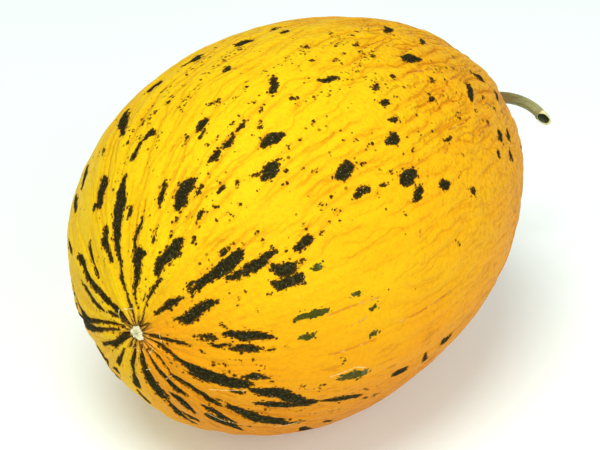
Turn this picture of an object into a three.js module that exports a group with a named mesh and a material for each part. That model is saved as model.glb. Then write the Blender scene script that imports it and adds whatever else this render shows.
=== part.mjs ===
// A casaba melon of the long yellow kind, lying on its side with its cut stem on.
// Millimetres, +Z up. X runs along the fruit, from the blossom end at -X to the stem end at +X.
// The origin is the middle of the small flat spot that the fruit lies on.
import * as THREE from "three";

// Body of the fruit
const FRUIT_LENGTH = 230;
const FRUIT_WIDTH = 168;
const HEIGHT_SHARE = 0.987; // height over width
const END_BLUNTNESS = 0.907; // power of the sine that shapes the ends: 1 is an ellipsoid
const BLOSSOM_FULLNESS = 0.106; // how much fuller the blossom half is than the stem half
const GROUND_SPOT_DEPTH = 1.3; // what the flat spot takes off the round belly
const WIDEST_FROM_MIDDLE = 11; // the belly touches the ground this far from mid length, to -X
const BLOSSOM_LEAN_Y = -2.8; // the blossom tip lies a little off the long axis
const BLOSSOM_LEAN_Z = -2;
const BLOSSOM_LEAN_REACH = 60;

// Relief of the rind: low lobes, long furrows between them, and creases drawn in at both ends
const LOBES = 10;
const LOBE_HEIGHT = 0.35;
const LOBE_SWAY = { strength: 0.5, length: 47, round: 0, start: 0 };
const FURROWS = 36;
const FURROW_DEPTH = 0.75;
const FURROW_FADE = 22; // how far from either tip the furrows reach their full depth
const FURROW_WANDER = 1.6;
const FURROW_WANDER_WAVES = [
  { strength: 1.5, length: 34, round: 2, start: 0 },
  { strength: 0.9, length: 15, round: -3, start: 1 },
];
const FURROW_STRENGTH = 0.6; // the mean strength, which comes and goes along the fruit
const FURROW_STRENGTH_WAVE = { strength: 0.4, length: 27, round: 5, start: 0 };
const BLOSSOM_CREASES = 18;
const BLOSSOM_CREASE_DEPTH = 0.4;
const BLOSSOM_CREASE_REACH = 13;
const BLOSSOM_CREASE_SWAY = { strength: 0.8, length: Infinity, round: 3, start: 0 };
const BLOSSOM_DIMPLE_DEPTH = 1.1;
const BLOSSOM_DIMPLE_REACH = 9;
const STEM_CREASES = 12;
const STEM_CREASE_DEPTH = 1;
const STEM_CREASE_REACH = 20;
const STEM_CREASE_START = 10; // full depth this far from the stem tip, none on the stem's seat
const STEM_CREASE_SWAY = { strength: 0.6, length: Infinity, round: 2, start: 1 };
const STEM_DIMPLE_DEPTH = 2.6;
const STEM_DIMPLE_REACH = 13;
const SCAR_RADIUS = 3.1; // corky scar where the flower sat
const SCAR_HEIGHT = 0.9;
const SCAR_RIM_IN = 0.5;
const SCAR_RIM_OUT = 0.4;
const SCAR_SKIRT = 2; // the creases begin over this width outside the scar
const SCAR_BUMPS = { strength: 0.22, length: 0.5, round: 3, start: 0 };

// Stem: it leaves the fruit straight, then hooks towards -Y and droops a little
const STEM_LENGTH = 58;
const STEM_HOOK = THREE.MathUtils.degToRad(120);
const STEM_HOOK_POWER = 2.45; // keeps the bend in the outer half
const STEM_DROOP = THREE.MathUtils.degToRad(25);
const STEM_RIBS = 5;
const STEM_RIB_SHARE = 0.07;
const STEM_RIB_TWIST = 1.1;
const STEM_FOOT_RADIUS = 5.6;
const STEM_RADIUS_IN = 2.95;
const STEM_RADIUS_OUT = 2.5;
const STEM_FLARE_RATE = 22; // how quickly the flare of the foot dies away
const STEM_TAPER = [0.2, 0.85]; // shares of the length between which the stem thins
const STEM_COLLAR = [0.93, 0.98]; // and between which the collar at the cut swells
const STEM_COLLAR_RADIUS = 2.95;
const STEM_BORE_RADIUS = 1.7; // the cut end is hollow
const STEM_BORE_FLOOR = 0.8; // radius of the bore's floor over that of its mouth
const STEM_BORE_DEPTH = 1.5;
const STEM_SEAT_RADIUS = 6; // flat on the fruit under the stem's foot
const STEM_GAP = 0.3;

// Fineness of the meshes
const ROUND = 144;
const ROUND_NEAR_TIP = 36;
const FULL_ROUND_RADIUS = 40;
const HALF_ROUND_RADIUS = 9;
const BELLY_RINGS = 33;
const RING_CROWDING = 0.55; // how much closer the belly's rings stand towards both ends
const SCAR_RINGS = [1.5, 2.7, 3.2, 4.2, 5.8];
const SEAT_RINGS = [3.5, STEM_SEAT_RADIUS, 7.6];
const STEM_ROUND = 20;
const STEM_STEPS = 400;
const STEM_RINGS = 22;
const STEM_FOOT_SHARES = [0, 0.018, 0.07]; // rings of the flared foot, in place of the first even ones

const { cos, sin, exp, min, max, PI } = Math;
const smooth = (low, high, value) => THREE.MathUtils.smoothstep(value, low, high);

// The smooth body's outline, from the blossom tip (angle 0) to the stem tip (angle PI)
const fullness = (angle) => sin(angle) ** END_BLUNTNESS * (1 + BLOSSOM_FULLNESS * cos(angle));
const OUTLINE_STEPS = 2000;
const outline = [];
{
  const angles = Array.from({ length: OUTLINE_STEPS + 1 }, (_, i) => (PI * i) / OUTLINE_STEPS);
  const fullest = max(...angles.map((angle) => fullness(min(angle, PI - 1e-9))));
  let station = 0;
  angles.forEach((angle, i) => {
    const along = (-cos(angle) * FRUIT_LENGTH) / 2;
    const radius = i % OUTLINE_STEPS ? ((FRUIT_WIDTH / 2) * fullness(angle)) / fullest : 0;
    if (i) station += Math.hypot(along - outline[i - 1].along, radius - outline[i - 1].radius);
    outline.push({ station, along, radius });
  });
}
const RIND_LENGTH = outline[OUTLINE_STEPS].station; // from tip to tip along the skin

// Where a station, measured along the skin from the blossom tip, lies on the smooth outline
function onOutline(station) {
  const after = max(1, outline.findIndex((p) => p.station >= station - 1e-9));
  const [a, b] = [outline[after - 1], outline[after]];
  const share = (station - a.station) / (b.station - a.station);
  const slope = new THREE.Vector2(b.along - a.along, b.radius - a.radius).normalize();
  return {
    along: a.along + share * (b.along - a.along),
    radius: a.radius + share * (b.radius - a.radius),
    outX: -slope.y,
    outR: slope.x,
  };
}

// A wave over the skin, so many millimetres long for each radian, that goes round so many times
function wave({ strength, length, round, start }, station, turn) {
  return strength * sin(station / length + round * turn + start);
}

// How far the rind stands out of the smooth body
function relief(station, turn) {
  const toStem = RIND_LENGTH - station;
  const inFromTips = smooth(0, FURROW_FADE, min(station, toStem));
  const lobes = LOBE_HEIGHT * cos(LOBES * turn + wave(LOBE_SWAY, station, turn)) * inFromTips;
  const wander = FURROW_WANDER_WAVES.reduce((sum, part) => sum + wave(part, station, turn), 0);
  const strengthWave = { ...FURROW_STRENGTH_WAVE, start: wander };
  const strength = FURROW_STRENGTH + wave(strengthWave, station, turn);
  const furrow = (0.5 + 0.5 * cos(FURROWS * turn + FURROW_WANDER * wander)) ** 2;
  const blossomNear = exp(-((station / BLOSSOM_CREASE_REACH) ** 2));
  const blossomSway = wave(BLOSSOM_CREASE_SWAY, station, turn);
  const blossomCreases = BLOSSOM_CREASE_DEPTH * cos(BLOSSOM_CREASES * turn + blossomSway);
  const offSeat = smooth(STEM_SEAT_RADIUS, STEM_CREASE_START, toStem);
  const stemNear = exp(-((toStem / STEM_CREASE_REACH) ** 2)) * offSeat;
  const stemSway = wave(STEM_CREASE_SWAY, station, turn);
  const stemCreases = STEM_CREASE_DEPTH * cos(STEM_CREASES * turn + stemSway);
  const offScar = smooth(SCAR_RADIUS, SCAR_RADIUS + SCAR_SKIRT, station);
  const scar = SCAR_HEIGHT * (1 - smooth(SCAR_RADIUS - SCAR_RIM_IN, SCAR_RADIUS + SCAR_RIM_OUT, station));
  const scarBumps = wave(SCAR_BUMPS, station, turn) * min(station, 1) * (1 - offScar);
  return (
    lobes -
    FURROW_DEPTH * strength * furrow * inFromTips +
    blossomCreases * blossomNear * offScar +
    stemCreases * stemNear -
    BLOSSOM_DIMPLE_DEPTH * exp(-((station / BLOSSOM_DIMPLE_REACH) ** 2)) -
    STEM_DIMPLE_DEPTH * exp(-((toStem / STEM_DIMPLE_REACH) ** 2)) +
    scar +
    scarBumps
  );
}

const AXIS_HEIGHT = (FRUIT_WIDTH / 2) * HEIGHT_SHARE - GROUND_SPOT_DEPTH;
const STEM_SEAT_X =
  onOutline(RIND_LENGTH - STEM_SEAT_RADIUS).along + WIDEST_FROM_MIDDLE - STEM_DIMPLE_DEPTH;

// A point of the skin. Turn is 0 on top, and grows towards -Y.
function skinPoint(station, turn) {
  const { along, radius, outX, outR } = onOutline(station);
  const out = relief(station, turn);
  const r = max(0, radius + out * outR);
  const seated = RIND_LENGTH - station <= STEM_SEAT_RADIUS + 1e-6;
  const x = seated ? STEM_SEAT_X : along + out * outX + WIDEST_FROM_MIDDLE;
  const lean = max(0, 1 - (along + FRUIT_LENGTH / 2) / BLOSSOM_LEAN_REACH) ** 2;
  const y = -r * sin(turn) + lean * BLOSSOM_LEAN_Y;
  const z = AXIS_HEIGHT + r * cos(turn) * HEIGHT_SHARE + lean * BLOSSOM_LEAN_Z;
  return new THREE.Vector3(x, y, max(0, z));
}

// A closed mesh from a first tip, rings of points and a last tip. Each ring has as many points
// as its neighbour, or twice or half as many.
function closedMesh(firstTip, rings, lastTip) {
  const points = [firstTip, ...rings.flat(), lastTip];
  const faces = [];
  const starts = [];
  let next = 1;
  for (const ring of rings) {
    starts.push(next);
    next += ring.length;
  }
  const at = (k, i) => starts[k] + (i % rings[k].length);
  const last = rings.length - 1;
  rings[0].forEach((_, i) => faces.push(0, at(0, i + 1), at(0, i)));
  for (let k = 0; k < last; k++) {
    const [here, there] = [rings[k].length, rings[k + 1].length];
    for (let i = 0; i < min(here, there); i++) {
      if (here === there) {
        faces.push(at(k, i), at(k, i + 1), at(k + 1, i + 1), at(k, i), at(k + 1, i + 1), at(k + 1, i));
      } else if (there > here) {
        const [a, b, p, q, r] = [at(k, i), at(k, i + 1), ...[0, 1, 2].map((j) => at(k + 1, 2 * i + j))];
        faces.push(a, q, p, a, b, q, b, r, q);
      } else {
        const [p, q, r, a, b] = [...[0, 1, 2].map((j) => at(k, 2 * i + j)), at(k + 1, i), at(k + 1, i + 1)];
        faces.push(p, q, a, a, q, b, q, r, b);
      }
    }
  }
  rings[last].forEach((_, i) => faces.push(points.length - 1, at(last, i), at(last, i + 1)));
  const geometry = new THREE.BufferGeometry().setFromPoints(points);
  geometry.setIndex(faces);
  geometry.computeVertexNormals();
  return geometry;
}

// Fruit: rings round the long axis, closer together at the two ends
function fruitGeometry() {
  const [first, last] = [SCAR_RINGS.at(-1), SEAT_RINGS.at(-1)];
  const stations = [...SCAR_RINGS];
  for (let i = 1; i < BELLY_RINGS; i++) {
    const share = i / BELLY_RINGS;
    const eased = share - (RING_CROWDING * sin(2 * PI * share)) / (2 * PI);
    stations.push(first + eased * (RIND_LENGTH - first - last));
  }
  stations.push(...SEAT_RINGS.toReversed().map((distance) => RIND_LENGTH - distance));
  const rings = stations.map((station) => {
    const { radius } = onOutline(station);
    const half = radius < FULL_ROUND_RADIUS ? ROUND / 2 : ROUND;
    const count = radius < HALF_ROUND_RADIUS ? ROUND_NEAR_TIP : half;
    return Array.from({ length: count }, (_, i) => skinPoint(station, (2 * PI * i) / count));
  });
  return closedMesh(skinPoint(0, 0), rings, skinPoint(RIND_LENGTH, 0));
}

// Stem: its line lies in one plane, so each ring is set square to it by the bend so far
function stemGeometry() {
  const sideways = new THREE.Vector3(0, -cos(STEM_DROOP), -sin(STEM_DROOP));
  const forward = new THREE.Vector3(1, 0, 0);
  const across = forward.clone().cross(sideways);
  const heading = (share) => {
    const bend = STEM_HOOK * share ** STEM_HOOK_POWER;
    return forward.clone().multiplyScalar(cos(bend)).addScaledVector(sideways, sin(bend));
  };
  const foot = new THREE.Vector3(STEM_SEAT_X + STEM_GAP, 0, AXIS_HEIGHT);
  const line = [foot];
  const step = STEM_LENGTH / STEM_STEPS;
  for (let i = 0; i < STEM_STEPS; i++)
    line.push(line[i].clone().addScaledVector(heading((i + 0.5) / STEM_STEPS), step));
  const ring = (share, radius, sink = 0) => {
    const centre = line[Math.round(share * STEM_STEPS)].clone().addScaledVector(heading(share), -sink);
    const inPlane = across.clone().cross(heading(share));
    return Array.from({ length: STEM_ROUND }, (_, i) => {
      const angle = (2 * PI * i) / STEM_ROUND;
      const r = radius * (1 + STEM_RIB_SHARE * cos(STEM_RIBS * angle + STEM_RIB_TWIST * share));
      return centre
        .clone()
        .addScaledVector(inPlane, r * cos(angle))
        .addScaledVector(across, r * sin(angle));
    });
  };
  const radiusAt = (share) => {
    const flare = (STEM_FOOT_RADIUS - STEM_RADIUS_IN) * exp(-share * STEM_FLARE_RATE);
    const taper = THREE.MathUtils.lerp(STEM_RADIUS_IN, STEM_RADIUS_OUT, smooth(...STEM_TAPER, share));
    return taper + flare + (STEM_COLLAR_RADIUS - STEM_RADIUS_OUT) * smooth(...STEM_COLLAR, share);
  };
  const rings = [];
  for (let i = 0; i <= STEM_RINGS; i++) {
    const share = STEM_FOOT_SHARES[i] ?? i / STEM_RINGS;
    rings.push(ring(share, radiusAt(share)));
  }
  const floorRing = ring(1, STEM_BORE_RADIUS * STEM_BORE_FLOOR, STEM_BORE_DEPTH);
  rings.push(ring(1, STEM_BORE_RADIUS), floorRing);
  const boreFloor = line[STEM_STEPS].clone().addScaledVector(heading(1), -STEM_BORE_DEPTH);
  return closedMesh(foot, rings, boreFloor);
}

const rind = new THREE.MeshStandardMaterial({ color: 0xf6b91e, roughness: 0.42, metalness: 0 });
const greenStem = new THREE.MeshStandardMaterial({ color: 0x7f8a52, roughness: 0.6, metalness: 0 });

const melon = new THREE.Group();
const fruit = new THREE.Mesh(fruitGeometry(), rind);
fruit.name = "fruit";
const stem = new THREE.Mesh(stemGeometry(), greenStem);
stem.name = "stem";
melon.add(fruit, stem);

export default melon;
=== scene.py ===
import math
import random

import bpy
import numpy as np
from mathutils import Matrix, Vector, noise


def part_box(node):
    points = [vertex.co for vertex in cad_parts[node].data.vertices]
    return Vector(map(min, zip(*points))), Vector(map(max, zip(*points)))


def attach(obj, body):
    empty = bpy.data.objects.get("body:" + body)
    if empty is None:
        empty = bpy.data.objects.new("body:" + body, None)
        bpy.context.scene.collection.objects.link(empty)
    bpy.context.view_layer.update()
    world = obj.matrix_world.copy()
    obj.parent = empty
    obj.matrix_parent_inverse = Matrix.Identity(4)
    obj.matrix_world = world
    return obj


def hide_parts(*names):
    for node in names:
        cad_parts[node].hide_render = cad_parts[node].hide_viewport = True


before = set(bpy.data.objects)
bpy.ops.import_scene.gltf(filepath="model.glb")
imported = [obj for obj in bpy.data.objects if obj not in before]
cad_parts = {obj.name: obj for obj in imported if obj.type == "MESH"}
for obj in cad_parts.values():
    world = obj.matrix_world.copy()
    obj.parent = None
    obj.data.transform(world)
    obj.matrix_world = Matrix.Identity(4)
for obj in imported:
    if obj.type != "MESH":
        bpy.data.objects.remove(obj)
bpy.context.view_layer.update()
bpy.ops.object.select_all(action="DESELECT")

# Fruit
# The whole melon is one grown body: firm flesh under a waxy rind. It is egg-like, fuller at the blossom
# end, with lengthwise wrinkles, puckered ends and a corky scar where the flower sat.

# A place on the rind is told by its station, in millimetres along the skin from the blossom tip, and its
# turn, which is 0 on top and grows towards -Y. All sizes of the growth are in millimetres.
MM = 0.001
LENGTH = 230
WIDTH = 168
HEIGHT_SHARE = 0.987
END_BLUNTNESS = 0.907
BLOSSOM_FULLNESS = 0.106
GROUND_SPOT_DEPTH = 1.3
WIDEST_FROM_MIDDLE = 11
BLOSSOM_LEAN_Y = -2.8
BLOSSOM_LEAN_Z = -2
BLOSSOM_LEAN_REACH = 60
AXIS_HEIGHT = WIDTH / 2 * HEIGHT_SHARE - GROUND_SPOT_DEPTH
OUTLINE_STEPS = 4000

angles = np.linspace(0, math.pi, OUTLINE_STEPS + 1)
swelling = np.sin(angles) ** END_BLUNTNESS * (1 + BLOSSOM_FULLNESS * np.cos(angles))
outline_along = -np.cos(angles) * LENGTH / 2
outline_radius = WIDTH / 2 * swelling / swelling.max()
steps_along = np.hypot(np.diff(outline_along), np.diff(outline_radius))
outline_station = np.concatenate([[0], np.cumsum(steps_along)])
RIND_LENGTH = outline_station[-1]
slope_along = np.gradient(outline_along, outline_station)
slope_radius = np.gradient(outline_radius, outline_station)


def skin_place(station, turn, out=0.0):
    """Where a place of the rind is, in millimetres, when it stands out of the smooth body by out."""
    along = np.interp(station, outline_station, outline_along)
    radius = np.interp(station, outline_station, outline_radius)
    out_along = -np.interp(station, outline_station, slope_radius)
    out_radius = np.interp(station, outline_station, slope_along)
    r = np.maximum(0, radius + out * out_radius)
    lean = np.maximum(0, 1 - (along + LENGTH / 2) / BLOSSOM_LEAN_REACH) ** 2
    x = along + out * out_along + WIDEST_FROM_MIDDLE
    y = -r * np.sin(turn) + lean * BLOSSOM_LEAN_Y
    z = AXIS_HEIGHT + r * np.cos(turn) * HEIGHT_SHARE + lean * BLOSSOM_LEAN_Z
    return np.stack([x, y, z], axis=-1)


def smooth(low, high, value):
    """0 below low, 1 above high, and an even rise between them."""
    share = np.clip((value - low) / (high - low), 0, 1)
    return share * share * (3 - 2 * share)


def bell(value, width):
    """1 where the value is 0, fading evenly on both sides over about the width."""
    return np.exp(-((value / width) ** 2))


def new_sheet(name, rows, columns):
    """A flat sheet of faces to roll up into a piece, and each point's share of its length and width."""
    bpy.ops.mesh.primitive_grid_add(x_subdivisions=rows, y_subdivisions=columns, size=2)
    sheet = bpy.context.object
    sheet.name = sheet.data.name = name
    places = np.zeros(len(sheet.data.vertices) * 3)
    sheet.data.vertices.foreach_get("co", places)
    shares = (places.reshape(-1, 3) + 1) / 2
    return sheet, shares[:, 0], shares[:, 1]


def roll_up(sheet, points):
    """Moves a sheet's points to their places in millimetres, closes it all round, and smooths it."""
    sheet.data.vertices.foreach_set("co", (points * MM).ravel())
    sheet.data.update()
    bpy.ops.object.mode_set(mode="EDIT")
    bpy.ops.mesh.select_all(action="SELECT")
    bpy.ops.mesh.remove_doubles(threshold=1e-6)
    bpy.ops.mesh.fill_holes(sides=0)
    bpy.ops.mesh.normals_make_consistent(inside=False)
    bpy.ops.object.mode_set(mode="OBJECT")
    bpy.ops.object.shade_smooth()


def give_points(obj, name, values, kind="FLOAT"):
    """Stores one value for each point of a piece, under a name that its material reads."""
    layer = obj.data.attributes.new(name, kind, "POINT")
    layer.data.foreach_set("value" if kind == "FLOAT" else "vector", np.asarray(values).ravel())


# The rings lie closer together towards both tips, and closest at the corky scar
SEGMENTS = 480
RINGS = 206
RING_GAP_BELLY = 1.62
RING_GAP_SCAR = 0.42
RING_GAP_STEM = 0.75
walk = np.linspace(0, RIND_LENGTH, OUTLINE_STEPS + 1)
ring_gap = RING_GAP_BELLY + (RING_GAP_SCAR - RING_GAP_BELLY) * (1 - smooth(5, 26, walk))
ring_gap += (RING_GAP_STEM - RING_GAP_BELLY) * smooth(22, 8, RIND_LENGTH - walk)
rings_so_far = np.concatenate([[0], np.cumsum(2 / (ring_gap[1:] + ring_gap[:-1]))])
rings_so_far /= rings_so_far[-1]

fruit, along_sheet, round_sheet = new_sheet("melon_fruit", RINGS, SEGMENTS)
fruit.data.uv_layers[0].name = "OFBake"
turn = round_sheet * 2 * math.pi
station = np.interp(along_sheet, rings_so_far, walk)
to_stem = RIND_LENGTH - station


def drift(along, across, shift=0.0):
    """Smooth noise over the rind, about -1 to 1, in waves so many millimetres along and across."""
    reach = WIDTH / 2 / across
    places = np.stack([reach * np.cos(turn), reach * np.sin(turn), station / along + shift], axis=-1)
    return np.array([noise.noise(Vector(place)) for place in places])


def line_gap(lines_round, wander):
    """How far each point is from the nearest of many lengthwise lines, in millimetres, with a sign."""
    phase = (lines_round / 2 * turn + wander).reshape(SEGMENTS + 1, RINGS + 1)
    grid_station = station.reshape(phase.shape)
    radius = np.maximum(np.interp(grid_station[0], outline_station, outline_radius), LEAST_LINE_RADIUS)
    rise_along = np.gradient(phase, axis=1) / np.gradient(grid_station, axis=1)
    rise_round = np.gradient(phase, axis=0) / (radius * 2 * math.pi / SEGMENTS)
    gap = np.arcsin(np.sin(phase)) / np.hypot(rise_along, rise_round)
    gap[-1] = gap[0]  # the sheet's two long edges meet
    return np.clip(gap, -FURTHEST_LINE, FURTHEST_LINE).ravel()


# Wrinkles: two sets of wandering lengthwise valleys, coarse and fine, that come and go, over faint lobes
# and broad furrows. They are shallowest in one band along the side.
LEAST_LINE_RADIUS = 12
FURTHEST_LINE = 6
COARSE_LINES = 84
COARSE_DEPTH = 0.62
COARSE_WIDTH = 1.5
FINE_LINES = 124
FINE_DEPTH = 0.42
FINE_WIDTH = 1.2
SMOOTH_BAND_TURN = 88
LOBES = 10
LOBE_HEIGHT = 0.35
FURROWS = 36
FURROW_DEPTH = 0.35
FADE_TO_TIPS = 22
BROAD_SWELL = 0.25
SMALL_SWELL = 0.18
RIND_LIFT = 0.35
inner = smooth(0, FADE_TO_TIPS, np.minimum(station, to_stem))
coarse_wander = 4 * drift(60, 22, 3.7) + 1.6 * drift(24, 14) + 0.9 * drift(8, 8, 11.0)
fine_wander = 5 * drift(40, 16, 27.0) + 2 * drift(12, 9, 5.0) + 1.2 * drift(6, 6, 19.0)
wrinkle = line_gap(COARSE_LINES, coarse_wander)
fine_wrinkle = line_gap(FINE_LINES, fine_wander)
from_smooth_band = np.abs(np.degrees(turn) % 360 - SMOOTH_BAND_TURN)
wrinkle_reach = 0.62 + 0.5 * drift(70, 45, 8.0) + 0.35 * smooth(70, 190, station)
wrinkle_reach = np.clip(wrinkle_reach - 0.35 * smooth(40, 10, from_smooth_band), 0.12, 1.15)
wrinkle_reach *= smooth(8, 70, station) * 0.75 + 0.25
coarse_reach = wrinkle_reach * smooth(-0.3, 0.2, drift(24, 9, 51.0))
fine_reach = wrinkle_reach * smooth(-0.2, 0.3, drift(14, 6, 71.0))
lobes = LOBE_HEIGHT * np.cos(LOBES * turn + 0.5 * np.sin(station / 47)) * inner
wander = 1.5 * np.sin(station / 34 + 2 * turn) + 0.9 * np.sin(station / 15 - 3 * turn + 1)
strength = 0.6 + 0.4 * np.sin(station / 27 + 5 * turn + wander)
furrows = strength * (0.5 + 0.5 * np.cos(FURROWS * turn + 1.6 * wander)) ** 2 * inner
swell = drift(26, 15, 40.0) * BROAD_SWELL + drift(9, 7, 60.0) * SMALL_SWELL

# Both ends: creases drawn in towards the tips, a dimple, and the corky scar
BLOSSOM_CREASES = 18
BLOSSOM_CREASE_DEPTH = 0.45
BLOSSOM_CREASE_REACH = 15
FINE_CREASES = 41
FINE_CREASE_DEPTH = 0.22
BLOSSOM_DIMPLE_DEPTH = 1.1
BLOSSOM_DIMPLE_REACH = 9
SCAR_RADIUS = 3
SCAR_HEIGHT = 0.9
SCAR_BUMPS = 0.3
STEM_CREASES = 12
STEM_CREASE_REACH = 20
FINE_STEM_CREASES = 31
FINE_STEM_CREASE_DEPTH = 0.3
STEM_DIMPLE_DEPTH = 2.6
STEM_DIMPLE_REACH = 13
scar_edge = SCAR_RADIUS + 0.35 * np.sin(3 * turn + 1) + 0.25 * np.sin(7 * turn)
on_scar = 1 - smooth(-0.5, 0.35, station - scar_edge)
off_scar = smooth(0, 2.2, station - scar_edge)
blossom_wave = np.cos(BLOSSOM_CREASES * turn + 0.8 * np.sin(3 * turn) + 1.2 * drift(30, 40, 2.0))
fine_wave = np.cos(FINE_CREASES * turn + 2 * np.sin(2 * turn))
stem_wave = np.cos(STEM_CREASES * turn + 0.6 * np.sin(2 * turn + 1) + 0.8 * drift(30, 40, 9.0))
fine_stem_wave = np.cos(FINE_STEM_CREASES * turn + 1.5 * np.sin(3 * turn))
relief = (
    RIND_LIFT
    + lobes
    + swell * inner
    - FURROW_DEPTH * furrows
    - coarse_reach * COARSE_DEPTH * bell(wrinkle, COARSE_WIDTH)
    - fine_reach * FINE_DEPTH * bell(fine_wrinkle, FINE_WIDTH)
    + BLOSSOM_CREASE_DEPTH * blossom_wave * bell(station, BLOSSOM_CREASE_REACH) * off_scar
    + FINE_CREASE_DEPTH * fine_wave * bell(station - 6, 5) * off_scar
    + stem_wave * bell(to_stem, STEM_CREASE_REACH) * smooth(5, 11, to_stem)
    + FINE_STEM_CREASE_DEPTH * fine_stem_wave * bell(to_stem - 9, 6) * smooth(5, 8, to_stem)
    - BLOSSOM_DIMPLE_DEPTH * bell(station, BLOSSOM_DIMPLE_REACH)
    - STEM_DIMPLE_DEPTH * bell(to_stem, STEM_DIMPLE_REACH)
    + SCAR_HEIGHT * on_scar
    + SCAR_BUMPS * on_scar * drift(1.6, 40, 15.0)
)

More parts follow.
